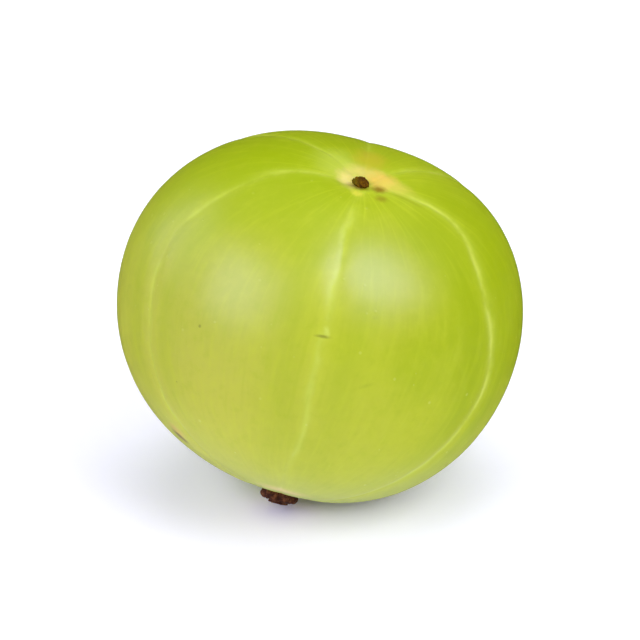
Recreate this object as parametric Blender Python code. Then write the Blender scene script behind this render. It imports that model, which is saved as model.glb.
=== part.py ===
# Indian gooseberry: one picked fruit with its dried style remnant and its stalk stub.
# It rests on a small flat spot, style end up and leaning to the right, as seen from -Y.
# Metres, +Z up. The origin is under the middle of the fruit's box, on the surface it rests on.

import math

import bmesh
import bpy
from mathutils import Matrix, Vector

# Fleshy body: oblate about its own axis, which leans to the right
EQUATOR_RADIUS = 0.01885
HALF_HEIGHT = 0.0163
SHOULDER_FULLNESS = 0.028
LEAN = math.radians(14.3)
REST_CUT = 0.00035

# Broad swells and flats that keep the body from being even, each with its middle's angle from the top of
# the axis and around the axis, its rise and its width. The last brings the resting point under the weight.
SWELLS = (
    (math.radians(29.0), math.radians(76.0), -0.0006, math.radians(26.0)),
    (math.radians(38.0), math.radians(28.0), 0.00055, math.radians(30.0)),
    (math.radians(82.0), math.radians(170.0), 0.0003, math.radians(30.0)),
    (math.radians(110.0), math.radians(-16.0), -0.0002, math.radians(30.0)),
    (math.radians(148.0), math.radians(-52.0), 0.0006, math.radians(30.0)),
    (math.radians(173.0), math.radians(110.0), 0.0007, math.radians(22.0)),
)

# Both ends of the fruit are swung from the axis towards the front, the stalk end by more.
# Each lies in a hollow, as deep as given in its middle.
FRONT = math.radians(-90.0)
STYLE_SKEW = math.radians(12.4)
STALK_SKEW = math.radians(23.9)
BASIN_DEPTH = 0.0006
BASIN_WIDTH = 0.0030
CAVITY_DEPTH = 0.0006
CAVITY_WIDTH = 0.0026

# Six seams from end to end, with a low swelling of the flesh between each two.
# Below the pinch level they crowd towards the first seam, and above it they keep away from it.
SEAM_COUNT = 6
FIRST_SEAM = math.radians(-94.0)
SEAM_PINCH = math.radians(21.0)
PINCH_LEVEL = 0.21
SEAM_DEPTH = 0.0002
SEAM_HALF_WIDTH = 0.0008
FLESH_SWELLING = 0.00018

# Dried style remnant: a low nub of three withered branches
STYLE_RADIUS = 0.001
STYLE_HEIGHT = 0.0005
STYLE_BRANCHES = 3
STYLE_CLEFT = 0.12
STYLE_SIDES = 18

# Stalk stub with the withered calyx round it, a thick lobed cushion
STALK_RADIUS = 0.001
STALK_LENGTH = 0.0016
CALYX_RADIUS = 0.00175
CALYX_THICKNESS = 0.00085
CALYX_LOBES = 6
CALYX_CLEFT = 0.16
CALYX_SIDES = 36

# Roots of the two small pieces, and the free space round them in the flesh
ROOT_DEPTH = 0.0007
PIECE_GAP = 0.0003

# Mesh fineness of the body
MERIDIANS = 84
RINGS = 40
POLE_CROWDING = 0.35
SEAM_CROWDING = 0.5

SMOOTH_ANGLE = math.radians(40.0)
SOCKET_SIDES = 24
SOCKET_HEADROOM = 0.002
REST_CUTTER_SIZE = 0.06


def remove_all_objects():
    for scene_object in list(bpy.data.objects):
        bpy.data.objects.remove(scene_object, do_unlink=True)


def new_collection(name):
    collection = bpy.data.collections.new(name)
    bpy.context.scene.collection.children.link(collection)
    return collection


def principled(name, colour, roughness):
    material = bpy.data.materials.new(name)
    material.use_nodes = True
    shader = material.node_tree.nodes["Principled BSDF"]
    shader.inputs["Base Color"].default_value = (*colour, 1.0)
    shader.inputs["Roughness"].default_value = roughness
    shader.inputs["Metallic"].default_value = 0.0
    material.diffuse_color = (*colour, 1.0)
    return material


def skin_material():
    return principled("green_skin", (0.46, 0.57, 0.045), 0.36)


def style_material():
    return principled("dried_style", (0.075, 0.030, 0.008), 0.75)


def stalk_material():
    return principled("dried_stalk", (0.060, 0.022, 0.010), 0.80)


def object_from_bmesh(shape, name, collection):
    bmesh.ops.recalc_face_normals(shape, faces=shape.faces)
    mesh = bpy.data.meshes.new(name)
    shape.to_mesh(mesh)
    shape.free()
    new_object = bpy.data.objects.new(name, mesh)
    collection.objects.link(new_object)
    return new_object


def finish_piece(piece, material, lie):
    piece.data.materials.append(material)
    piece.data.shade_smooth()
    piece.data.set_sharp_from_angle(angle=SMOOTH_ANGLE)
    piece.parent = lie


def bell(distance, width):
    return math.exp(-((distance / width) ** 2))


def lobes(around, count, cleft):
    """Factor on a radius: 1 on each lobe, less by the cleft between two lobes."""
    return 1.0 - cleft * (1.0 - math.cos(count * around)) / 2.0


def from_axis(polar, around):
    """Unit direction at an angle from the style end and an angle around the axis."""
    across = math.sin(polar)
    return Vector((across * math.cos(around), across * math.sin(around), math.cos(polar)))


def skewed(direction):
    """Direction swung towards the front, not at all at the equator and fully at either end."""
    hinge = Vector((-math.sin(FRONT), math.cos(FRONT), 0.0))
    skew = STYLE_SKEW if direction.z > 0.0 else -STALK_SKEW
    return Matrix.Rotation(skew * direction.z ** 2, 3, hinge) @ direction


def body_point(direction):
    """Point of the body, without seams or hollows, in a direction from its middle."""
    polar = math.acos(min(max(direction.z, -1.0), 1.0))
    size = 1.0 + SHOULDER_FULLNESS * math.sin(2.0 * polar) ** 2
    for swell_polar, swell_around, rise, width in SWELLS:
        away = direction.angle(from_axis(swell_polar, swell_around))
        size += rise / EQUATOR_RADIUS * bell(away, width)
    return size * Vector((EQUATOR_RADIUS * direction.x, EQUATOR_RADIUS * direction.y,
                          HALF_HEIGHT * direction.z))


def fruit_end(up):
    """Point of the body at its style end (up 1) or stalk end (up -1), and the way straight out of it."""
    point = body_point(skewed(Vector((0.0, 0.0, up))))
    flattening = (EQUATOR_RADIUS / HALF_HEIGHT) ** 2
    return point, Vector((point.x, point.y, point.z * flattening)).normalized()


def skin_point(direction):
    """Point of the skin. A direction's longitude counts from the first seam."""
    polar = math.acos(min(max(direction.z, -1.0), 1.0))
    polar -= POLE_CROWDING * math.sin(2.0 * polar) / 2.0
    around = math.atan2(direction.y, direction.x)
    around -= SEAM_CROWDING * math.sin(SEAM_COUNT * around) / SEAM_COUNT
    pinched = around + SEAM_PINCH * (math.cos(polar) - PINCH_LEVEL) * math.sin(around)
    point = body_point(skewed(from_axis(polar, FIRST_SEAM + pinched)))

    # seams and the flesh between them fade out towards both ends
    from_seam = math.remainder(around, math.tau / SEAM_COUNT) * EQUATOR_RADIUS * math.sin(polar)
    seam = SEAM_DEPTH * bell(from_seam, SEAM_HALF_WIDTH) * math.sin(polar)
    flesh = FLESH_SWELLING * (1.0 - math.cos(SEAM_COUNT * around)) / 2.0 * math.sin(polar) ** 2
    point += (flesh - seam) * point.normalized()

    # the basin at the style end and the cavity at the stalk end
    for up, depth, width in ((1.0, BASIN_DEPTH, BASIN_WIDTH), (-1.0, CAVITY_DEPTH, CAVITY_WIDTH)):
        middle, outwards = fruit_end(up)
        point -= depth * bell((point - middle).length, width) * outwards
    return point


def end_place(up, depth):
    """Bottom of the hollow at one end of the fruit, with +Z outwards."""
    middle, outwards = fruit_end(up)
    turn = Vector((0.0, 0.0, 1.0)).rotation_difference(outwards)
    return Matrix.Translation(middle - depth * outwards) @ turn.to_matrix().to_4x4()


def style_place():
    return end_place(1.0, BASIN_DEPTH)


def stalk_place():
    return end_place(-1.0, CAVITY_DEPTH)


def turned_body(profile, sides, outline):
    """Closed body from a sphere whose rings take the profile's (radius, level, lobed) points, top first."""
    shape = bmesh.new()
    ring_steps = len(profile) - 1
    bmesh.ops.create_uvsphere(shape, u_segments=sides, v_segments=ring_steps, radius=1.0)
    for vertex in shape.verts:
        ring = round(math.acos(min(max(vertex.co.z, -1.0), 1.0)) / math.pi * ring_steps)
        around = math.atan2(vertex.co.y, vertex.co.x)
        radius, level, lobed = profile[ring]
        if lobed:
            radius *= outline(around)
        vertex.co = Vector((radius * math.cos(around), radius * math.sin(around), level))
    return shape


def add_fruit(parts, lie):
    shape = bmesh.new()
    bmesh.ops.create_uvsphere(shape, u_segments=MERIDIANS, v_segments=RINGS, radius=1.0)
    for vertex in shape.verts:
        vertex.co = skin_point(vertex.co.normalized())
    fruit = object_from_bmesh(shape, "fruit", parts)
    finish_piece(fruit, skin_material(), lie)
    return fruit


def add_style_tip(parts, lie):
    """Three-branched nub, whose root is sunk in the basin's floor."""
    profile = [
        (0.0, STYLE_HEIGHT * 0.9, False),
        (STYLE_RADIUS * 0.45, STYLE_HEIGHT, True),
        (STYLE_RADIUS * 0.85, STYLE_HEIGHT * 0.75, True),
        (STYLE_RADIUS, STYLE_HEIGHT * 0.3, True),
        (STYLE_RADIUS * 0.95, 0.0, True),
        (STYLE_RADIUS * 0.8, -ROOT_DEPTH, True),
        (0.0, -ROOT_DEPTH, False),
    ]
    shape = turned_body(profile, STYLE_SIDES, lambda around: lobes(around, STYLE_BRANCHES, STYLE_CLEFT))
    tip = object_from_bmesh(shape, "style_tip", parts)
    finish_piece(tip, style_material(), lie)
    tip.matrix_local = style_place()


def add_stalk_stub(parts, lie):
    """Six-lobed calyx that lies along the cavity, with the broken stalk in its middle and its root below."""
    def cavity_rise(radius):
        return CAVITY_DEPTH * (1.0 - bell(radius, CAVITY_WIDTH))

    rim = cavity_rise(CALYX_RADIUS) + PIECE_GAP
    collar = cavity_rise(STALK_RADIUS) + PIECE_GAP
    profile = [
        (0.0, STALK_LENGTH, False),
        (STALK_RADIUS * 0.75, STALK_LENGTH, False),
        (STALK_RADIUS, STALK_LENGTH * 0.9, False),
        (STALK_RADIUS, collar + CALYX_THICKNESS, False),
        (CALYX_RADIUS * 0.9, rim + CALYX_THICKNESS, True),
        (CALYX_RADIUS, rim + CALYX_THICKNESS / 2.0, True),
        (CALYX_RADIUS * 0.9, rim, True),
        (STALK_RADIUS, collar, False),
        (STALK_RADIUS, -ROOT_DEPTH, False),
        (0.0, -ROOT_DEPTH, False),
    ]
    shape = turned_body(profile, CALYX_SIDES, lambda around: lobes(around, CALYX_LOBES, CALYX_CLEFT))
    stub = object_from_bmesh(shape, "stalk_stub", parts)
    finish_piece(stub, stalk_material(), lie)
    stub.matrix_local = stalk_place()


def cut(piece, cutter):
    cutter.hide_render = True
    cutter.display_type = "WIRE"
    boolean = piece.modifiers.new(cutter.name, "BOOLEAN")
    boolean.operation = "DIFFERENCE"
    boolean.solver = "EXACT"
    boolean.object = cutter


def cut_socket(fruit, name, cutters, lie, place, root_radius):
    """Hole for a root, wider and deeper than the root by the gap that pieces keep."""
    radius = root_radius + PIECE_GAP
    bottom = -ROOT_DEPTH - PIECE_GAP
    depth = SOCKET_HEADROOM - bottom
    shape = bmesh.new()
    bmesh.ops.create_cone(shape, cap_ends=True, segments=SOCKET_SIDES, radius1=radius, radius2=radius,
                          depth=depth, matrix=Matrix.Translation((0.0, 0.0, bottom + depth / 2.0)))
    cutter = object_from_bmesh(shape, name, cutters)
    cutter.parent = lie
    cutter.matrix_local = place
    cut(fruit, cutter)


def cut_rest(fruit, cutters):
    """Flat spot at z = 0 under the fruit."""
    shape = bmesh.new()
    bmesh.ops.create_cube(shape, size=REST_CUTTER_SIZE,
                          matrix=Matrix.Translation((0.0, 0.0, -REST_CUTTER_SIZE / 2.0)))
    cut(fruit, object_from_bmesh(shape, "rest_cutter", cutters))


def lay_down(lie, fruit):
    """Lean the fruit to the right, centre its box over the origin and sink its lowest point by the rest cut."""
    lean = Matrix.Rotation(LEAN, 3, "Y")
    points = [lean @ vertex.co for vertex in fruit.data.vertices]
    middle = [(min(p[axis] for p in points) + max(p[axis] for p in points)) / 2.0 for axis in (0, 1)]
    lowest = min(p.z for p in points)
    place = Matrix.Translation((-middle[0], -middle[1], -lowest - REST_CUT))
    lie.matrix_world = place @ lean.to_4x4()


def build():
    remove_all_objects()
    parts = new_collection("indian_gooseberry")
    cutters = new_collection("cutters")
    lie = bpy.data.objects.new("lie", None)
    parts.objects.link(lie)

    fruit = add_fruit(parts, lie)
    lay_down(lie, fruit)
    add_style_tip(parts, lie)
    add_stalk_stub(parts, lie)
    cut_rest(fruit, cutters)
    cut_socket(fruit, "style_socket", cutters, lie, style_place(), STYLE_RADIUS)
    cut_socket(fruit, "stalk_socket", cutters, lie, stalk_place(), STALK_RADIUS)


build()
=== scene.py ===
import math

import bmesh
import bpy
from mathutils import Matrix, Vector, noise


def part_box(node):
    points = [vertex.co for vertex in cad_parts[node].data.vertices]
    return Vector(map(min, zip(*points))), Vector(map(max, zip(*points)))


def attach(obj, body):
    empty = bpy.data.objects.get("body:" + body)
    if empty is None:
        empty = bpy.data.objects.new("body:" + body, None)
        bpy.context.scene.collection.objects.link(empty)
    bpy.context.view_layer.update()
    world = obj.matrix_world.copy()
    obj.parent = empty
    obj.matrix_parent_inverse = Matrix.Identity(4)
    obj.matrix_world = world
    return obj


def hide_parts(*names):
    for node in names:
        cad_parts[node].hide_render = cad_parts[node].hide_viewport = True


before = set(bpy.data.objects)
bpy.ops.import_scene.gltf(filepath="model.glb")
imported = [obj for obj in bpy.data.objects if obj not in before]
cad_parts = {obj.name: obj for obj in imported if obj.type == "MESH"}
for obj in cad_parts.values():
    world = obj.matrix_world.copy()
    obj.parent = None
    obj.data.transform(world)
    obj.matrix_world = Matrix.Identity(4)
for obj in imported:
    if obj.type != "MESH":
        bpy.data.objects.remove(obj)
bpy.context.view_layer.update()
millimetre = 0.001
print("frame loaded:", ", ".join(sorted(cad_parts)))


# small helpers for meshes and shader nodes

def bell(distance, width):
    return math.exp(-((distance / width) ** 2))


def directionTo(azimuth, elevation):
    # degrees: azimuth from the front to the right, elevation from level
    a, e = math.radians(azimuth), math.radians(elevation)
    return Vector((math.sin(a) * math.cos(e), -math.cos(a) * math.cos(e), math.sin(e)))


def finishMesh(shape, name, material):
    bmesh.ops.recalc_face_normals(shape, faces=shape.faces)
    mesh = bpy.data.meshes.new(name)
    shape.to_mesh(mesh)
    shape.free()
    mesh.shade_smooth()
    mesh.materials.append(material)
    piece = bpy.data.objects.new(name, mesh)
    bpy.context.scene.collection.objects.link(piece)
    return piece


def addNode(tree, kind, **settings):
    new = tree.nodes.new(kind)
    for name, value in settings.items():
        setattr(new, name, value)
    return new


def feed(tree, target, value):
    # a socket is linked, a plain value is typed in
    if isinstance(value, bpy.types.NodeSocket):
        tree.links.new(value, target)
    else:
        target.default_value = value


def maths(tree, operation, *values, clamp=False):
    new = addNode(tree, "ShaderNodeMath", operation=operation, use_clamp=clamp)
    for target, value in zip(new.inputs, values):
        feed(tree, target, value)
    return new.outputs["Value"]


def remap(tree, value, fromLow, fromHigh, toLow=0.0, toHigh=1.0):
    new = addNode(tree, "ShaderNodeMapRange", interpolation_type="SMOOTHSTEP")
    for target, entry in zip(new.inputs, (value, fromLow, fromHigh, toLow, toHigh)):
        feed(tree, target, entry)
    return new.outputs["Result"]


def layer(tree, under, over, mask, blend="MIX"):
    new = addNode(tree, "ShaderNodeMix", data_type="RGBA", blend_type=blend)
    feed(tree, new.inputs["Factor"], mask)
    feed(tree, new.inputs["A"], colour(under))
    feed(tree, new.inputs["B"], colour(over))
    return new.outputs["Result"]


def colour(value):
    return (*value, 1.0) if isinstance(value, tuple) and len(value) == 3 else value


def clouds(tree, vector, size, detail=3.0, roughness=0.5):
    # soft noise whose features are about this many metres, or units of the vector, across
    new = addNode(tree, "ShaderNodeTexNoise")
    feed(tree, new.inputs["Vector"], vector)
    feed(tree, new.inputs["Scale"], 1.0 / size)
    feed(tree, new.inputs["Detail"], detail)
    feed(tree, new.inputs["Roughness"], roughness)
    return new.outputs["Fac"]


def bellMask(tree, distance, width):
    share = maths(tree, "DIVIDE", distance, width)
    return maths(tree, "EXPONENT", maths(tree, "MULTIPLY", maths(tree, "POWER", share, 2.0), -1.0))


def newGroup(name, inputs, outputs):
    group = bpy.data.node_groups.new(name, "ShaderNodeTree")
    for label, kind, value in inputs:
        socket = group.interface.new_socket(name=label, in_out="INPUT", socket_type=kind)
        if value is not None:
            socket.default_value = value
    for label, kind in outputs:
        group.interface.new_socket(name=label, in_out="OUTPUT", socket_type=kind)
    return group, group.nodes.new("NodeGroupInput"), group.nodes.new("NodeGroupOutput")


def placeGroup(tree, group, **values):
    new = addNode(tree, "ShaderNodeGroup", node_tree=group)
    for name, value in values.items():
        feed(tree, new.inputs[name], colour(value))
    return new.outputs


def newMaterial(name):
    material = bpy.data.materials.new(name)
    material.use_nodes = True
    tree = material.node_tree
    return material, tree, tree.nodes["Principled BSDF"]


def objectPlace(tree):
    return addNode(tree, "ShaderNodeTexCoord").outputs["Object"]


def attributeValue(tree, name):
    return addNode(tree, "ShaderNodeAttribute", attribute_name=name).outputs["Fac"]


# the fruit's shape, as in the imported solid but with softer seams; metres, and degrees from the top
# of its axis or around it
fruitShape = {
    "equatorRadius": 0.01885,
    "halfHeight": 0.0163,
    "shoulderFullness": 0.028,
    "lean": 14.3,
    # polar, around, rise and reach of each swell
    "swells": (
        (29, 76, -0.0006, 26),
        (38, 28, 0.00055, 30),
        (82, 170, 0.0003, 30),
        (110, -16, -0.0002, 30),
        (148, -52, 0.0006, 30),
        (173, 110, 0.0007, 22),
    ),
    "front": -90.0,
    "styleSkew": 12.4,
    "stalkSkew": 23.9,
    "basinDepth": 0.0006,
    "basinWidth": 0.0030,
    "cavityDepth": 0.0006,
    "cavityWidth": 0.0026,
    "seamCount": 6,
    "firstSeam": -94.0,
    "seamPinch": 21.0,
    "pinchLevel": 0.21,
    "seamDepth": 0.00009,
    "seamHalfWidth": 0.0008,
    "fleshSwelling": 0.00018,
}

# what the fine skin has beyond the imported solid, and its mesh
fruitSkin = {
    "meridians": 360,
    "rings": 176,
    "ringCrowding": 0.175,
    "seamCrowding": 0.5,
    "waveDepth": 0.00005,
    "waveSize": 0.006,
    "waveFiner": 2.7,
    "finerShare": 0.4,
    "creaseDepth": 0.00003,
    "creaseHalfWidth": 0.0003,
    "wander": 0.00028,
    "wanderSize": 0.0034,
    "wanderFiner": 2.6,
    "seamStrengths": (1.0, 2.0, 0.8, 0.9, 0.8, 1.0),
    # each seam's own bends: polar and sway in degrees, and the reach of the bend
    "seamBends": (
        ((15, -3.5, 25), (108, 3.0, 19)),
        ((20, 10.5, 15), (55, -4.2, 17), (92, 1.8, 18)),
        ((35, 2.0, 20), (100, -3.0, 25)),
        ((50, -3.0, 20), (110, 2.5, 20)),
        ((40, 3.0, 18), (95, -2.0, 22)),
        ((17, -7.5, 13), (43, 2.3, 12)),
    ),
    "collarRise": 0.00012,
    "collarRadius": 0.0013,
    "collarWidth": 0.00045,
    "collarLeast": 0.7,
    "collarUneven": 0.6,
    "collarGrains": 1400.0,
    "sink": 0.00002,
    "streakStretch": 0.12,
}


def fromAxis(polar, around):
    across = math.sin(polar)
    return Vector((across * math.cos(around), across * math.sin(around), math.cos(polar)))


def skewed(direction):
    # both ends are swung from the axis towards the front
    front = math.radians(fruitShape["front"])
    skew = fruitShape["styleSkew"] if direction.z > 0.0 else -fruitShape["stalkSkew"]
    hinge = Vector((-math.sin(front), math.cos(front), 0.0))
    return Matrix.Rotation(math.radians(skew) * direction.z ** 2, 3, hinge) @ direction


def bodyPoint(direction):
    polar = math.acos(min(max(direction.z, -1.0), 1.0))
    size = 1.0 + fruitShape["shoulderFullness"] * math.sin(2.0 * polar) ** 2
    for swellPolar, swellAround, rise, width in fruitShape["swells"]:
        away = direction.angle(fromAxis(math.radians(swellPolar), math.radians(swellAround)))
        size += rise / fruitShape["equatorRadius"] * bell(away, math.radians(width))
    across = fruitShape["equatorRadius"] * size
    upright = fruitShape["halfHeight"] * size
    return Vector((across * direction.x, across * direction.y, upright * direction.z))


def fruitEnd(up):
    point = bodyPoint(skewed(Vector((0.0, 0.0, up))))
    flattening = (fruitShape["equatorRadius"] / fruitShape["halfHeight"]) ** 2
    return point, Vector((point.x, point.y, point.z * flattening)).normalized()


# the two ends with their hollows: middle, way out, depth and width
fruitHollows = [(*fruitEnd(1.0), fruitShape["basinDepth"], fruitShape["basinWidth"]),
                (*fruitEnd(-1.0), fruitShape["cavityDepth"], fruitShape["cavityWidth"])]


def skinPoint(polar, around):
    # the clean skin, and how far to the side of a seam it lies
    pinch = math.radians(fruitShape["seamPinch"]) * (math.cos(polar) - fruitShape["pinchLevel"])
    longitude = math.radians(fruitShape["firstSeam"]) + around + pinch * math.sin(around)
    point = bodyPoint(skewed(fromAxis(polar, longitude)))
    across = math.sin(polar)
    radius = fruitShape["equatorRadius"] * across
    count = fruitShape["seamCount"]
    seamSpacing = math.tau / count
    # a seam's bends fade out half way to the next seam
    bends = fruitSkin["seamBends"][round(around / seamSpacing) % count]
    sway = sum(turn * bell(math.degrees(polar) - level, reach) for level, turn, reach in bends)
    bent = around - math.radians(sway) * (1.0 + math.cos(count * around)) / 2.0
    fromSeam = abs(math.remainder(bent, seamSpacing)) * radius
    seam = fruitShape["seamDepth"] * bell(fromSeam, fruitShape["seamHalfWidth"]) * across
    flesh = (1.0 - math.cos(count * around)) / 2.0
    point += (fruitShape["fleshSwelling"] * flesh * across ** 2 - seam) * point.normalized()
    for middle, outwards, depth, width in fruitHollows:
        point -= depth * bell((point - middle).length, width) * outwards
    # changes its sign at each seam and stays smooth between two of them
    aside = math.sin(math.pi * bent / seamSpacing) * seamSpacing / math.pi * radius
    return point, aside


# where the fruit lies: leaning to the right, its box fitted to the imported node's

def layFruit(points):
    lean = Matrix.Rotation(math.radians(fruitShape["lean"]), 3, "Y")
    leaned = [lean @ point for point in points]
    low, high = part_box("fruit")
    middleX = (min(p.x for p in leaned) + max(p.x for p in leaned)) / 2.0
    middleY = (min(p.y for p in leaned) + max(p.y for p in leaned)) / 2.0
    top = max(p.z for p in leaned)
    nodeMiddle = (low + high) / 2.0
    shift = Vector((nodeMiddle.x - middleX, nodeMiddle.y - middleY, high.z - top))
    return Matrix.Translation(shift) @ lean.to_4x4()


def endPlace(lie, hollow):
    # the bottom of the hollow at one end, with Z outwards and X to the right
    middle, outwards, depth, width = hollow
    out = (lie.to_3x3() @ outwards).normalized()
    right = Vector((1.0, 0.0, 0.0))
    right = (right - right.dot(out) * out).normalized()
    turn = Matrix((right, out.cross(right), out)).transposed()
    return Matrix.Translation(lie @ (middle - depth * outwards)) @ turn.to_4x4()


def twoNoises(place, size, finer):
    # noise of one size with a weaker one laid on it that is some times finer
    return noise.noise(place / size) + fruitSkin["finerShare"] * noise.noise(place / size * finer)


def fineSkin(lie, stylePlace, stalkPlace, clean):
    # fine relief on the clean skin: all of it but the collar lies at or below the solid's surface
    settings = fruitSkin
    middle = lie @ Vector((0.0, 0.0, 0.0))
    moved = []
    for point, aside in clean:
        place = lie @ point
        # the seam's thread wanders a little about the seam
        aside += settings["wander"] * twoNoises(place, settings["wanderSize"], settings["wanderFiner"])
        out = (place - middle).normalized()
        wave = twoNoises(place, settings["waveSize"], settings["waveFiner"])
        rise = settings["waveDepth"] * (wave - 1.0) / 2.0 - settings["sink"]
        rise -= settings["creaseDepth"] * bell(aside, settings["creaseHalfWidth"])
        fromStyle = (place - stylePlace.translation).length
        ragged = noise.noise(place * settings["collarGrains"])
        ragged = settings["collarLeast"] + settings["collarUneven"] * ragged
        collar = bell(fromStyle - settings["collarRadius"], settings["collarWidth"])
        rise += settings["collarRise"] * collar * ragged
        place = place + rise * out
        place.z = max(place.z, 0.0)
        moved.append((place, aside, fromStyle, (place - stalkPlace.translation).length))
    return moved


def spherePattern():
    # the directions of a sphere's vertices, with rings and meridians drawn closer at the ends and seams
    shape = bmesh.new()
    bmesh.ops.create_uvsphere(shape, u_segments=fruitSkin["meridians"], v_segments=fruitSkin["rings"],
                              radius=1.0)
    pattern = []
    for vertex in shape.verts:
        polar = math.acos(min(max(vertex.co.z, -1.0), 1.0))
        around = math.atan2(vertex.co.y, vertex.co.x)
        count = fruitShape["seamCount"]
        pattern.append((polar - fruitSkin["ringCrowding"] * math.sin(2.0 * polar),
                        around - fruitSkin["seamCrowding"] * math.sin(count * around) / count))
    return shape, pattern


shape, pattern = spherePattern()
clean = [skinPoint(polar, around) for polar, around in pattern]
lie = layFruit([point for point, aside in clean])
stylePlace = endPlace(lie, fruitHollows[0])
stalkPlace = endPlace(lie, fruitHollows[1])
print("fruit laid at", [round(value, 5) for value in lie.translation])


# shader groups

def raggedSpotGroup():
    # 1 inside a spot whose vector is shorter than 1, with an uneven edge
    group, given, made = newGroup(
        "ragged spot",
        [("Vector", "NodeSocketVector", None), ("Edge", "NodeSocketFloat", 0.3),
         ("Raggedness", "NodeSocketFloat", 0.5), ("Grain", "NodeSocketFloat", 0.5)],
        [("Mask", "NodeSocketFloat")])
    away = addNode(group, "ShaderNodeVectorMath", operation="LENGTH")
    feed(group, away.inputs[0], given.outputs["Vector"])
    rough = addNode(group, "ShaderNodeTexNoise")
    feed(group, rough.inputs["Vector"], given.outputs["Vector"])
    feed(group, rough.inputs["Scale"], maths(group, "DIVIDE", 1.0, given.outputs["Grain"]))
    feed(group, rough.inputs["Detail"], 4.0)
    uneven = maths(group, "MULTIPLY", maths(group, "SUBTRACT", rough.outputs["Fac"], 0.5),
                   maths(group, "MULTIPLY", given.outputs["Raggedness"], 2.0))
    reach = maths(group, "ADD", away.outputs["Value"], uneven)
    inner = maths(group, "SUBTRACT", 1.0, given.outputs["Edge"])
    outer = maths(group, "ADD", 1.0, given.outputs["Edge"])
    feed(group, made.inputs["Mask"], remap(group, reach, inner, outer, 1.0, 0.0))
    return group


def speckGroup():
    # small round dots, one in each cell of a spacing, kept in part of the cells
    group, given, made = newGroup(
        "scattered specks",
        [("Vector", "NodeSocketVector", None), ("Spacing", "NodeSocketFloat", 0.002),
         ("Radius", "NodeSocketFloat", 0.0002), ("Share", "NodeSocketFloat", 0.5)],
        [("Mask", "NodeSocketFloat")])
    cells = addNode(group, "ShaderNodeTexVoronoi", feature="F1")
    feed(group, cells.inputs["Vector"], given.outputs["Vector"])
    feed(group, cells.inputs["Scale"], maths(group, "DIVIDE", 1.0, given.outputs["Spacing"]))
    split = addNode(group, "ShaderNodeSeparateColor")
    feed(group, split.inputs["Color"], cells.outputs["Color"])
    # dots differ in size, and those past the share are left out
    chosen = maths(group, "LESS_THAN", split.outputs["Red"], given.outputs["Share"])
    size = maths(group, "ADD", 0.6, split.outputs["Green"])
    size = maths(group, "MULTIPLY", size, given.outputs["Radius"])
    away = maths(group, "MULTIPLY", cells.outputs["Distance"], given.outputs["Spacing"])
    inner = maths(group, "MULTIPLY", size, 0.6)
    outer = maths(group, "MULTIPLY", size, 1.3)
    dot = remap(group, away, inner, outer, 1.0, 0.0)
    feed(group, made.inputs["Mask"], maths(group, "MULTIPLY", dot, chosen))
    return group


def driedTissueGroup():
    # dry shrunken plant tissue: two browns in streaks and flecks, with the relief that goes with them
    group, given, made = newGroup(
        "dried tissue",
        [("Vector", "NodeSocketVector", None), ("Grain", "NodeSocketFloat", 0.0003),
         ("Dark", "NodeSocketColor", (0.03, 0.01, 0.005, 1.0)),
         ("Pale", "NodeSocketColor", (0.2, 0.1, 0.03, 1.0))],
        [("Color", "NodeSocketColor"), ("Height", "NodeSocketFloat")])
    weighted = []
    for name, detail, finer, weight in (("coarse", 5.0, 1.0, 0.7), ("fine", 2.0, 4.0, 0.3)):
        new = addNode(group, "ShaderNodeTexNoise", label=name)
        feed(group, new.inputs["Vector"], given.outputs["Vector"])
        feed(group, new.inputs["Detail"], detail)
        feed(group, new.inputs["Scale"], maths(group, "DIVIDE", finer, given.outputs["Grain"]))
        weighted.append(maths(group, "MULTIPLY", new.outputs["Fac"], weight))
    mixed = maths(group, "ADD", *weighted)
    share = remap(group, mixed, 0.42, 0.66)
    feed(group, made.inputs["Color"], layer(group, given.outputs["Dark"], given.outputs["Pale"], share))
    feed(group, made.inputs["Height"], mixed)
    return group


raggedSpot = raggedSpotGroup()
scatteredSpecks = speckGroup()
driedTissue = driedTissueGroup()


# the skin's colours and patterns; sizes in metres, but distances from seams and ends in mm

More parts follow.
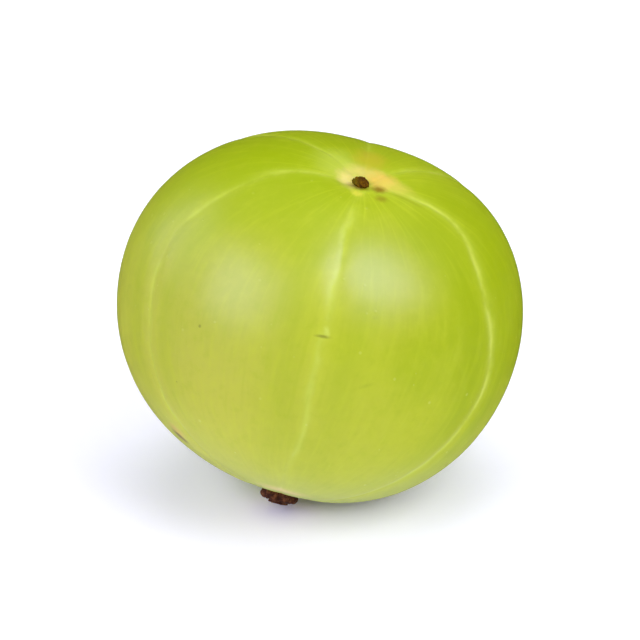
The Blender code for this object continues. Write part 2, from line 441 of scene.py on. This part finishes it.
skinLook = {
    "leafGreen": (0.377, 0.464, 0.004),
    "limeGreen": (0.445, 0.514, 0.012),
    # deeper green for the mottling and streaks, and for the painted shade beside the seams
    "flankGreen": (0.321, 0.413, 0.000),
    "seamPale": (0.535, 0.615, 0.075),
    "dotPale": (0.570, 0.620, 0.140),
    "veilPale": (0.515, 0.565, 0.035),
    "streakPale": (0.530, 0.600, 0.025),
    "pinDark": (0.140, 0.150, 0.010),
    "cork": (0.560, 0.360, 0.090),
    "corkPale": (0.740, 0.660, 0.260),
    "roughness": (0.32, 0.39),
    "patchSize": 0.012,
    "mottleSize": 0.0011,
    "mottleStrength": 0.22,
    # seams: a broken thread in a soft pale band, least and most, and deeper green flanks that are painted
    # shade of the flesh bulging beside them
    "threadBreaks": 0.0030,
    "threadHalfWidth": 0.32,
    "threadStrength": (0.08, 0.52),
    "bandHalfWidth": 0.70,
    "bandStrength": (0.06, 0.22),
    "flankPlace": 2.6,
    "flankHalfWidth": 1.5,
    "flankShadeStrength": 0.34,
    # how they fade towards an end: from and to a distance, and the shares there
    "flankNearStalk": (12.0, 22.0, 0.25, 1.0),
    "seamNearStalk": (8.0, 15.0, 0.20, 1.0),
    "threadNearStyle": (1.5, 6.0, 0.1, 1.0),
    # pores, faint at the upper and clear at the lower level, and pinpricks
    "dotSpacing": 0.0016,
    "dotRadius": 0.00011,
    "dotShare": 0.7,
    "dotLevels": (0.030, 0.006),
    "dotStrength": (0.20, 0.55),
    "pinSpacing": 0.007,
    "pinRadius": 0.00013,
    "pinShare": 0.5,
    "pinStrength": 0.6,
    # streaks, and what they gain round the style end
    "streakSize": 0.045,
    "streakStrength": 0.16,
    "styleStreaks": 0.20,
    "styleReach": 7.0,
    # the cork round the stalk: a pale ring, and a hollow from its edge to where it is full
    "ringPlace": 2.8,
    "ringHalfWidth": 0.75,
    "ringDullness": 0.25,
    "hollowEdge": (2.7, 1.5),
    "corkStrength": 0.85,
    "corkDullness": 0.35,
    "bumpStrength": 0.35,
    "bumpHeight": 0.00008,
    "waxIor": 1.42,
    "subsurface": 0.35,
    "subsurfaceScale": 0.0025,
    "subsurfaceRadius": (0.8, 1.0, 0.15),
}

# broad soft tints and painted shade: azimuth from the front to the right, elevation, reach in mm, colour,
# strength
skinTintsAndShade = (
    (-45, -4, 13.0, (0.520, 0.480, 0.080), 0.65),
    (-60, 25, 9.0, (0.460, 0.480, 0.065), 0.50),
    (5, -40, 12.0, (0.438, 0.482, 0.014), 0.55),
    # painted shade: the next two darken the skin where the left and the right softbox light it most
    (-28, 30, 5.0, (0.340, 0.390, 0.010), 0.55),
    (26, 34, 5.0, (0.370, 0.380, 0.020), 0.55),
    # painted shade: a darker green top
    (-80, 70, 9.0, (0.290, 0.400, 0.000), 0.70),
    # painted shade and green bounce light: a deeper green right side
    (72, 25, 10.0, (0.325, 0.410, 0.000), 0.55),
    (120, 30, 14.0, (0.300, 0.410, 0.004), 0.50),
    (-150, 10, 12.0, (0.470, 0.500, 0.040), 0.50),
)

# marks round the style end: right, back, half width and half depth in mm, turn, edge, raggedness,
# colour, strength
styleMarks = (
    (-2.2, 2.2, 1.9, 2.4, 20, 0.80, 0.40, (0.540, 0.620, 0.100), 0.45),
    (-1.35, 0.1, 0.95, 1.3, 20, 0.60, 0.45, (0.740, 0.640, 0.190), 0.90),
    (0.2, 1.9, 1.5, 0.9, 0, 0.70, 0.45, (0.700, 0.600, 0.150), 0.80),
    (0.9, 4.4, 1.5, 1.9, 0, 0.60, 0.60, (0.480, 0.420, 0.020), 0.75),
    (1.9, 0.9, 1.3, 1.2, -20, 0.60, 0.60, (0.740, 0.500, 0.090), 0.90),
    (3.1, 0.3, 1.5, 0.8, -20, 0.80, 0.50, (0.680, 0.580, 0.100), 0.60),
    (1.6, -0.6, 0.60, 0.50, 0, 0.75, 0.50, (0.240, 0.130, 0.005), 0.85),
    (1.8, -2.2, 0.50, 0.45, 0, 0.80, 0.50, (0.280, 0.240, 0.008), 0.75),
    (-0.4, -0.8, 0.95, 0.45, 0, 0.70, 0.40, (0.110, 0.060, 0.001), 0.80),
    (-0.5, -2.0, 0.55, 0.45, 0, 0.60, 0.40, (0.660, 0.640, 0.060), 0.80),
    (-1.9, -1.0, 0.9, 0.25, -25, 0.80, 0.60, (0.300, 0.350, 0.010), 0.50),
    (4.2, -1.4, 1.7, 0.22, -17, 0.60, 0.80, (0.300, 0.350, 0.008), 0.55),
)

# marks elsewhere: polar and around on the body, half width and half height in mm, turn, edge,
# colour, strength
skinMarks = (
    (69.7, -94.0, 0.62, 0.13, -9, 0.7, (0.260, 0.280, 0.015), 0.85),
    (67.9, -93.2, 0.22, 0.40, 15, 0.8, (0.580, 0.660, 0.120), 0.55),
    (128.0, -137.0, 0.90, 0.55, -30, 0.7, (0.620, 0.400, 0.100), 0.60),
    (131.0, -136.5, 0.90, 0.36, -35, 0.6, (0.200, 0.130, 0.030), 0.95),
    (60.7, -79.4, 0.25, 0.14, 0, 0.7, (0.330, 0.380, 0.020), 0.40),
    (82.4, -78.4, 0.60, 0.16, 10, 0.8, (0.330, 0.390, 0.010), 0.45),
    (97.3, -107.5, 0.50, 0.90, 0, 0.8, (0.400, 0.430, 0.030), 0.35),
    (138.5, -92.0, 1.9, 0.70, -17, 0.8, (0.700, 0.550, 0.190), 0.80),
)


def spotVector(tree, coordinates, place, halfRight, halfUp, halfOut):
    # object coordinates turned and scaled so that the spot's edge is 1 from its middle
    spot = addNode(tree, "ShaderNodeMapping", vector_type="TEXTURE")
    feed(tree, spot.inputs["Vector"], coordinates)
    spot.inputs["Location"].default_value = place.translation
    spot.inputs["Rotation"].default_value = place.to_euler()
    spot.inputs["Scale"].default_value = Vector((halfRight, halfUp, halfOut)) * millimetre
    return spot.outputs["Vector"]


def markedSkin(tree, coordinates, skin):
    # corky rims, scabs and flecks laid over the skin's own colour
    for right, back, halfWidth, halfDepth, turn, edge, raggedness, tint, strength in styleMarks:
        place = stylePlace @ Matrix.Translation((right * millimetre, back * millimetre, 0.0))
        place = place @ Matrix.Rotation(math.radians(turn), 4, "Z")
        vector = spotVector(tree, coordinates, place, halfWidth, halfDepth, halfOut=2.5)
        spot = placeGroup(tree, raggedSpot, Vector=vector, Edge=edge, Raggedness=raggedness, Grain=0.7)
        skin = layer(tree, skin, tint, maths(tree, "MULTIPLY", spot["Mask"], strength))
    for polar, around, halfWidth, halfHeight, turn, edge, tint, strength in skinMarks:
        place = surfacePlace(lie @ bodyPoint(fromAxis(math.radians(polar), math.radians(around))), turn)
        vector = spotVector(tree, coordinates, place, halfWidth, halfHeight, halfOut=1.0)
        spot = placeGroup(tree, raggedSpot, Vector=vector, Edge=edge, Raggedness=0.5, Grain=0.8)
        skin = layer(tree, skin, tint, maths(tree, "MULTIPLY", spot["Mask"], strength))
    return skin


def tintedAndShadedSkin(tree, coordinates, skin):
    # riper cheeks and greener flanks, with painted shade: darker spots where the softboxes light the skin
    # most, a darker green top, and a deeper green right side with painted green bounce light; each fades
    # out over most of its reach
    for azimuth, elevation, reach, tint, strength in skinTintsAndShade:
        point = lie.translation + directionTo(azimuth, elevation) * fruitShape["equatorRadius"]
        vector = spotVector(tree, coordinates, surfacePlace(point, 0.0), reach, reach, reach)
        spot = placeGroup(tree, raggedSpot, Vector=vector, Edge=0.85, Raggedness=0.25, Grain=0.6)
        skin = layer(tree, skin, tint, maths(tree, "MULTIPLY", spot["Mask"], strength))
    return skin


def surfacePlace(point, turn):
    # a place on the skin with Z outwards, X to the right and Y up
    out = (point - lie.translation).normalized()
    right = Vector((0.0, 0.0, 1.0)).cross(out).normalized()
    axes = Matrix((right, out.cross(right), out)).transposed().to_4x4()
    return Matrix.Translation(point) @ axes @ Matrix.Rotation(math.radians(turn), 4, "Z")


def seamedSkin(tree, skin, along, fromStyle, fromStalk):
    # each seam is a broken pale thread in a soft pale band, with deeper green beside it that is painted
    # shade of the flesh bulging there
    look = skinLook
    beside = maths(tree, "ABSOLUTE", attributeValue(tree, "asideSeam"))
    strength = attributeValue(tree, "seamStrength")
    # painted shade beside the seam
    flank = bellMask(tree, maths(tree, "SUBTRACT", beside, look["flankPlace"]), look["flankHalfWidth"])
    flank = maths(tree, "MULTIPLY", flank, look["flankShadeStrength"])
    flank = maths(tree, "MULTIPLY", flank, remap(tree, fromStalk, *look["flankNearStalk"]))
    skin = layer(tree, skin, look["flankGreen"], maths(tree, "MULTIPLY", flank, strength))
    # the pale lines die out towards both ends
    strength = maths(tree, "MULTIPLY", strength, remap(tree, fromStalk, *look["seamNearStalk"]))
    band = maths(tree, "MULTIPLY", bellMask(tree, beside, look["bandHalfWidth"]),
                 remap(tree, along, 0.3, 0.7, *look["bandStrength"]))
    skin = layer(tree, skin, look["seamPale"], maths(tree, "MULTIPLY", band, strength))
    strength = maths(tree, "MULTIPLY", strength, remap(tree, fromStyle, *look["threadNearStyle"]))
    thread = maths(tree, "MULTIPLY", bellMask(tree, beside, look["threadHalfWidth"]),
                   remap(tree, along, 0.36, 0.62, *look["threadStrength"]))
    thread = maths(tree, "MULTIPLY", thread, strength)
    return layer(tree, skin, look["seamPale"], thread), thread


def poredSkin(tree, coordinates, skin):
    # breathing pores, more of them low on the fruit, and a few dark pinpricks
    look = skinLook
    split = addNode(tree, "ShaderNodeSeparateXYZ")
    feed(tree, split.inputs["Vector"], coordinates)
    pores = placeGroup(tree, scatteredSpecks, Vector=coordinates, Spacing=look["dotSpacing"],
                       Radius=look["dotRadius"], Share=look["dotShare"])["Mask"]
    porous = remap(tree, split.outputs["Z"], *look["dotLevels"], *look["dotStrength"])
    skin = layer(tree, skin, look["dotPale"], maths(tree, "MULTIPLY", pores, porous))
    pins = placeGroup(tree, scatteredSpecks, Vector=coordinates, Spacing=look["pinSpacing"],
                      Radius=look["pinRadius"], Share=look["pinShare"])["Mask"]
    return layer(tree, skin, look["pinDark"], maths(tree, "MULTIPLY", pins, look["pinStrength"])), pores


def streakedSkin(tree, fromStyle, skin):
    # fine streaks that run from end to end, strongest round the style end
    look = skinLook
    streak = addNode(tree, "ShaderNodeAttribute", attribute_name="streak").outputs["Vector"]
    streaks = clouds(tree, streak, look["streakSize"], 2.0, 0.6)
    near = maths(tree, "MULTIPLY", bellMask(tree, fromStyle, look["styleReach"]), look["styleStreaks"])
    near = maths(tree, "ADD", near, look["streakStrength"])
    pale = maths(tree, "MULTIPLY", remap(tree, streaks, 0.48, 0.70), near)
    deep = maths(tree, "MULTIPLY", remap(tree, streaks, 0.46, 0.28), near)
    skin = layer(tree, skin, look["streakPale"], pale)
    return layer(tree, skin, look["flankGreen"], deep)


def makeSkinMaterial():
    look = skinLook
    material, tree, shader = newMaterial("gooseberry skin")
    coordinates = objectPlace(tree)
    fromStyle = attributeValue(tree, "fromStyle")
    fromStalk = attributeValue(tree, "fromStalk")

    # broad patches and tints
    patches = clouds(tree, coordinates, look["patchSize"], 2.0)
    skin = layer(tree, look["leafGreen"], look["limeGreen"], remap(tree, patches, 0.35, 0.60))
    skin = tintedAndShadedSkin(tree, coordinates, skin)

    # fine mottling of the flesh seen through the skin
    mottle = clouds(tree, coordinates, look["mottleSize"], 4.0, 0.6)
    most = look["mottleStrength"]
    skin = layer(tree, skin, look["veilPale"], remap(tree, mottle, 0.45, 0.75, 0.0, most))
    skin = layer(tree, skin, look["flankGreen"], remap(tree, mottle, 0.50, 0.28, 0.0, most))

    # seams broken along their length, pores and streaks
    along = clouds(tree, coordinates, look["threadBreaks"], 3.0, 0.6)
    skin, thread = seamedSkin(tree, skin, along, fromStyle, fromStalk)
    skin, pores = poredSkin(tree, coordinates, skin)
    skin = streakedSkin(tree, fromStyle, skin)

    # cork round the stalk's cavity
    ring = bellMask(tree, maths(tree, "SUBTRACT", fromStalk, look["ringPlace"]), look["ringHalfWidth"])
    ring = maths(tree, "MULTIPLY", ring, remap(tree, along, 0.25, 0.60, 0.35, 1.0))
    skin = layer(tree, skin, look["corkPale"], ring)
    hollow = remap(tree, fromStalk, *look["hollowEdge"])
    skin = layer(tree, skin, look["cork"], maths(tree, "MULTIPLY", hollow, look["corkStrength"]))

    feed(tree, shader.inputs["Base Color"], markedSkin(tree, coordinates, skin))

    # satin wax: its gloss varies a little, and cork is dull
    dull = maths(tree, "MAXIMUM", maths(tree, "MULTIPLY", ring, look["ringDullness"]),
                 maths(tree, "MULTIPLY", hollow, look["corkDullness"]))
    satin = remap(tree, patches, 0.3, 0.7, *look["roughness"])
    feed(tree, shader.inputs["Roughness"], maths(tree, "ADD", satin, dull, clamp=True))

    # low relief that is too fine for the mesh
    relief = maths(tree, "ADD", maths(tree, "MULTIPLY", mottle, 0.5), maths(tree, "MULTIPLY", pores, 0.35))
    relief = maths(tree, "SUBTRACT", relief, maths(tree, "MULTIPLY", thread, 0.25))
    bump = addNode(tree, "ShaderNodeBump")
    bump.inputs["Strength"].default_value = look["bumpStrength"]
    bump.inputs["Distance"].default_value = look["bumpHeight"]
    feed(tree, bump.inputs["Height"], relief)
    feed(tree, shader.inputs["Normal"], bump.outputs["Normal"])

    shader.inputs["IOR"].default_value = look["waxIor"]
    shader.inputs["Subsurface Weight"].default_value = look["subsurface"]
    shader.inputs["Subsurface Scale"].default_value = look["subsurfaceScale"]
    shader.inputs["Subsurface Radius"].default_value = look["subsurfaceRadius"]
    return material


# what both dried ends share
driedLook = {
    "dullest": 0.9,
    "sideUneven": 0.0012,
    "sideHalfEdge": 0.0003,
    "sideStrength": 0.75,
    "bumpStrength": 0.7,
    "bumpHeight": 0.00006,
}


def makeDriedMaterial(name, look):
    material, tree, shader = newMaterial(name)
    coordinates = objectPlace(tree)
    tissue = placeGroup(tree, driedTissue, Vector=coordinates, Grain=look["grain"], Dark=look["dark"],
                        Pale=look["pale"])
    skin = tissue["Color"]
    if "side" in look:
        # the left side is tinted, up to an uneven edge
        split = addNode(tree, "ShaderNodeSeparateXYZ")
        feed(tree, split.inputs["Vector"], coordinates)
        uneven = maths(tree, "SUBTRACT", tissue["Height"], 0.5)
        uneven = maths(tree, "MULTIPLY", uneven, driedLook["sideUneven"])
        place = maths(tree, "ADD", split.outputs["X"], uneven)
        right = look["sideFrom"] + driedLook["sideHalfEdge"]
        left = look["sideFrom"] - driedLook["sideHalfEdge"]
        onSide = remap(tree, place, right, left, 0.0, driedLook["sideStrength"])
        skin = layer(tree, skin, look["side"], onSide)
    feed(tree, shader.inputs["Base Color"], skin)
    dull = remap(tree, tissue["Height"], 0.3, 0.7, look["roughness"], driedLook["dullest"])
    feed(tree, shader.inputs["Roughness"], dull)
    shader.inputs["Specular IOR Level"].default_value = look["specular"]
    bump = addNode(tree, "ShaderNodeBump")
    bump.inputs["Strength"].default_value = driedLook["bumpStrength"]
    bump.inputs["Distance"].default_value = driedLook["bumpHeight"]
    feed(tree, bump.inputs["Height"], tissue["Height"])
    feed(tree, shader.inputs["Normal"], bump.outputs["Normal"])
    return material


# the fruit

def makeFruit():
    points = fineSkin(lie, stylePlace, stalkPlace, clean)
    for vertex, (place, aside, fromStyle, fromStalk) in zip(shape.verts, points):
        vertex.co = place
    fruit = finishMesh(shape, "fruit_skin", makeSkinMaterial())
    # distances in mm, each seam's strength, and a vector that changes fast round the fruit and
    # slowly along it
    names = ("asideSeam", "seamStrength", "fromStyle", "fromStalk")
    for name in names:
        fruit.data.attributes.new(name, "FLOAT", "POINT")
    fruit.data.attributes.new("streak", "FLOAT_VECTOR", "POINT")
    asideSeam, seamStrength, fromStyles, fromStalks = [fruit.data.attributes[name].data for name in names]
    streak = fruit.data.attributes["streak"].data
    count = fruitShape["seamCount"]
    for index, ((place, aside, fromStyle, fromStalk), (polar, around)) in enumerate(zip(points, pattern)):
        asideSeam[index].value = aside / millimetre
        seamStrength[index].value = fruitSkin["seamStrengths"][round(around / math.tau * count) % count]
        fromStyles[index].value = fromStyle / millimetre
        fromStalks[index].value = fromStalk / millimetre
        streak[index].vector = (math.cos(around), math.sin(around), polar * fruitSkin["streakStretch"])
    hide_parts("fruit")
    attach(fruit, "root")
    print("fruit skin:", len(fruit.data.polygons), "faces")


makeFruit()


# the dried style: a withered nub of three short branches

styleTip = {
    "segments": 72,
    "rings": 40,
    "radius": 0.00092,
    "shift": -0.00016,
    "height": 0.00040,
    "rootDepth": 0.0005,
    "branches": 3,
    "cleft": 0.15,
    "cleftDip": 4.0,
    "lobedAbove": -0.2,
    "turn": 35.0,
    "fullness": 0.6,
    "flatness": 0.7,
    "middleDip": 0.35,
    "middleWidth": 0.35,
    "wither": 0.00015,
    "witherSink": 0.4,
    "witherGrains": (2600.0, 6100.0),
    "look": {
        "dark": (0.055, 0.020, 0.000),
        "pale": (0.170, 0.075, 0.001),
        "side": (0.115, 0.090, 0.001),
        "sideFrom": stylePlace.translation.x - 0.0004,
        "grain": 0.00035,
        "roughness": 0.55,
        "specular": 0.04,
    },
}


def makeStyle():
    settings = styleTip
    shape = bmesh.new()
    bmesh.ops.create_uvsphere(shape, u_segments=settings["segments"], v_segments=settings["rings"],
                              radius=1.0)
    for vertex in shape.verts:
        unit = vertex.co.normalized()
        around = math.atan2(unit.y, unit.x) + math.radians(settings["turn"])
        lobe = 1.0 - settings["cleft"] * (1.0 - math.cos(settings["branches"] * around)) / 2.0
        across = math.hypot(unit.x, unit.y)
        wide = settings["radius"] * across ** settings["fullness"]
        wide *= lobe if unit.z > settings["lobedAbove"] else 1.0
        tall = settings["height"] if unit.z > 0.0 else settings["rootDepth"]
        flat = math.copysign(abs(unit.z) ** settings["flatness"], unit.z)
        # clefts run from the rim to a sunken middle
        dip = settings["cleft"] * (1.0 - lobe) * settings["cleftDip"]
        dip += settings["middleDip"] * bell(across, settings["middleWidth"])
        level = tall * flat * (1.0 - dip if unit.z > 0.0 else 1.0)
        spread = wide / max(across, 1e-6)
        point = Vector((unit.x * spread, unit.y * spread, level))
        coarse, fine = [noise.noise(point * grains) for grains in settings["witherGrains"]]
        shrink = coarse + 0.5 * fine
        vertex.co = point + unit * settings["wither"] * (shrink - settings["witherSink"])
    place = stylePlace @ Matrix.Translation((settings["shift"], 0.0, 0.0))
    bmesh.ops.transform(shape, matrix=place, verts=shape.verts)
    style = finishMesh(shape, "style_remnant", makeDriedMaterial("dried style", settings["look"]))
    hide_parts("style_tip")
    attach(style, "root")
    print("style remnant:", len(style.data.polygons), "faces")


makeStyle()


# the stalk stub with its withered calyx

stalkStub = {
    "segments": 120,
    "stalkRadius": 0.00098,
    "stalkLength": 0.00158,
    "calyxRadius": 0.00174,
    "calyxHeight": 0.00112,
    "lobes": 6,
    "cleft": 0.17,
    "folds": 23,
    "foldDepth": 0.00005,
    "wither": 0.00010,
    "witherSink": 0.3,
    # grains and shift of the noise that pulls points right, back and up
    "witherGrains": ((1900.0, (0.0, 0.0, 0.0)), (2100.0, (9.0, 0.0, 0.0)), (1700.0, (0.0, 7.0, 0.0))),
    "rootDepth": 0.0006,
    "look": {
        "dark": (0.045, 0.012, 0.006),
        "pale": (0.190, 0.070, 0.030),
        "grain": 0.00045,
        "roughness": 0.6,
        "specular": 0.12,
    },
}


def calyxProfile():
    # radius, level and how lobed, from the broken end over the calyx's cushion to the root
    settings = stalkStub
    stalk = settings["stalkRadius"]
    length = settings["stalkLength"]
    # the broken end's middle is sunken and its rim stands up: shares of the stalk's radius and length
    brokenEnd = ((0.0, 0.86), (0.5, 0.84), (0.84, 0.97), (0.98, 0.93), (0.94, 0.85))
    profile = [(stalk * out, length * rise, 0.0) for out, rise in brokenEnd]
    halfWidth = (settings["calyxRadius"] - stalk * 0.8) / 2.0
    for degrees in range(140, -150, -20):
        turn = math.radians(degrees)
        radius = settings["calyxRadius"] + halfWidth * (math.cos(turn) - 1.0)
        rise = fruitShape["cavityDepth"] * (1.0 - bell(radius, fruitShape["cavityWidth"]))
        level = rise + settings["calyxHeight"] * (0.5 + 0.5 * math.sin(turn))
        profile.append((radius, level, max(math.cos(turn), 0.0)))
    profile += [(stalk * 0.9, -settings["rootDepth"], 0.0), (0.0, -settings["rootDepth"], 0.0)]
    return profile


def makeStalk():
    settings = stalkStub
    profile = calyxProfile()
    shape = bmesh.new()
    bmesh.ops.create_uvsphere(shape, u_segments=settings["segments"], v_segments=len(profile) - 1,
                              radius=1.0)
    for vertex in shape.verts:
        ring = round(math.acos(min(max(vertex.co.z, -1.0), 1.0)) / math.pi * (len(profile) - 1))
        around = math.atan2(vertex.co.y, vertex.co.x)
        radius, level, lobed = profile[ring]
        gap = (1.0 - math.cos(settings["lobes"] * around)) / 2.0
        radius *= 1.0 - settings["cleft"] * lobed * gap ** 2
        radius += settings["foldDepth"] * lobed * math.sin(settings["folds"] * around)
        point = Vector((radius * math.cos(around), radius * math.sin(around), level))
        pulls = [noise.noise(point * grains + Vector(move)) for grains, move in settings["witherGrains"]]
        shrink = Vector((pulls[0], pulls[1], pulls[2] - settings["witherSink"]))
        vertex.co = point + settings["wither"] * shrink * min(1.0, radius / settings["stalkRadius"])
    bmesh.ops.transform(shape, matrix=stalkPlace, verts=shape.verts)
    stalk = finishMesh(shape, "stalk_calyx", makeDriedMaterial("dried stalk", settings["look"]))
    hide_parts("stalk_stub")
    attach(stalk, "root")
    print("stalk and calyx:", len(stalk.data.polygons), "faces")


makeStalk()


# floor, lights and camera

studio = {
    "floorRadius": 0.5,
    "floorLevel": -0.00005,
    "floorColour": (0.92, 0.920, 0.98),
    "floorDimmer": 0.97,
    "floorPatches": 0.08,
    "floorRoughness": 0.6,
    "floorSpecular": 0.25,
    "floorGlow": (0.155, 0.140, 0.265),
    "glowStarts": (0.0045, 0.010),
    "skyColour": (0.90, 0.94, 1.0),
    "skyFill": 0.40,
    "skyGloss": 0.01,
    "groundGloss": 1.20,
    "groundLevels": (-0.45, -0.98),
    "rightShade": (0.25, 0.60, 1.0, 0.35),
    "skySeen": 0.98,
    "windowColour": (0.66, 0.66, 1.0),
    "lights": (
        # name, azimuth, elevation, distance, size, power
        # the windows show only in the gloss, and the softboxes only light
        ("left softbox", -55.0, 34.0, 0.9, 0.70, 4.2),
        ("right softbox", 58.0, 42.0, 0.9, 0.70, 4.9),
        ("top softbox", 170.0, 72.0, 0.9, 0.70, 3.7),
        ("left window", -55.0, 35.0, 0.9, 0.66, 8.4),
        ("right window", 53.0, 51.0, 0.9, 0.60, 10.4),
        ("back window", -114.0, 26.0, 0.9, 0.60, 2.4),
    ),
    "elevation": 25.0,
    "cameraDistance": 0.62,
    "frameWidth": 0.060,
    "aimHeight": 0.0160,
}


def makeFloor():
    shape = bmesh.new()
    bmesh.ops.create_circle(shape, cap_ends=True, segments=96, radius=studio["floorRadius"],
                            matrix=Matrix.Translation((0.0, 0.0, studio["floorLevel"])))
    material, tree, shader = newMaterial("pale floor")
    cloudy = clouds(tree, objectPlace(tree), studio["floorPatches"], 3.0)
    pale = studio["floorColour"]
    dim = tuple(value * studio["floorDimmer"] for value in pale)
    feed(tree, shader.inputs["Base Color"], layer(tree, dim, pale, remap(tree, cloudy, 0.3, 0.7)))
    shader.inputs["Roughness"].default_value = studio["floorRoughness"]
    shader.inputs["Specular IOR Level"].default_value = studio["floorSpecular"]
    # the glow is gone where the fruit shades the floor that it rests on
    away = addNode(tree, "ShaderNodeVectorMath", operation="LENGTH")
    feed(tree, away.inputs[0], objectPlace(tree))
    lit = remap(tree, away.outputs["Value"], *studio["glowStarts"])
    glow = layer(tree, (0.0, 0.0, 0.0), studio["floorGlow"], lit)
    feed(tree, shader.inputs["Emission Color"], glow)
    shader.inputs["Emission Strength"].default_value = 1.0
    floor = finishMesh(shape, "floor", material)
    floor.visible_glossy = False


def makeLights():
    aim = Vector((0.0, 0.0, studio["aimHeight"]))
    for name, azimuth, elevation, distance, size, power in studio["lights"]:
        lamp = bpy.data.lights.new(name, "AREA")
        lamp.shape = "SQUARE"
        lamp.size = size
        lamp.energy = power
        holder = bpy.data.objects.new(name, lamp)
        toward = directionTo(azimuth, elevation)
        holder.location = aim + toward * distance
        holder.rotation_euler = toward.to_track_quat("Z", "Y").to_euler()
        holder.visible_glossy = "window" in name
        holder.visible_diffuse = "window" not in name
        if "window" in name:
            lamp.color = studio["windowColour"]
        bpy.context.scene.collection.objects.link(holder)


def makeRoom():
    # a pale room that fills the shade; in the gloss it is dark but for the pale ground below
    world = bpy.data.worlds.new("pale room")
    world.use_nodes = True
    tree = world.node_tree
    background = tree.nodes["Background"]
    background.inputs["Color"].default_value = (*studio["skyColour"], 1.0)
    rays = addNode(tree, "ShaderNodeLightPath")
    split = addNode(tree, "ShaderNodeSeparateXYZ")
    feed(tree, split.inputs["Vector"], addNode(tree, "ShaderNodeTexCoord").outputs["Generated"])
    gloss = remap(tree, split.outputs["Z"], *studio["groundLevels"], studio["skyGloss"],
                  studio["groundGloss"])
    gloss = maths(tree, "MULTIPLY", gloss, remap(tree, split.outputs["X"], *studio["rightShade"]))
    fillOrGloss = remap(tree, rays.outputs["Is Glossy Ray"], 0.0, 1.0, studio["skyFill"], gloss)
    strength = remap(tree, rays.outputs["Is Camera Ray"], 0.0, 1.0, fillOrGloss, studio["skySeen"])
    feed(tree, background.inputs["Strength"], strength)
    bpy.context.scene.world = world


def makeCamera():
    lens = bpy.data.cameras.new("camera")
    lens.sensor_width = 36.0
    lens.lens = lens.sensor_width * studio["cameraDistance"] / studio["frameWidth"]
    lens.clip_start = 0.01
    lens.clip_end = 10.0
    camera = bpy.data.objects.new("camera", lens)
    toward = directionTo(0.0, studio["elevation"])
    camera.location = Vector((0.0, 0.0, studio["aimHeight"])) + toward * studio["cameraDistance"]
    camera.rotation_euler = toward.to_track_quat("Z", "Y").to_euler()
    bpy.context.scene.collection.objects.link(camera)
    bpy.context.scene.camera = camera


makeFloor()
makeLights()
makeRoom()
makeCamera()
bpy.context.scene.view_settings.view_transform = "Standard"
print("studio ready")
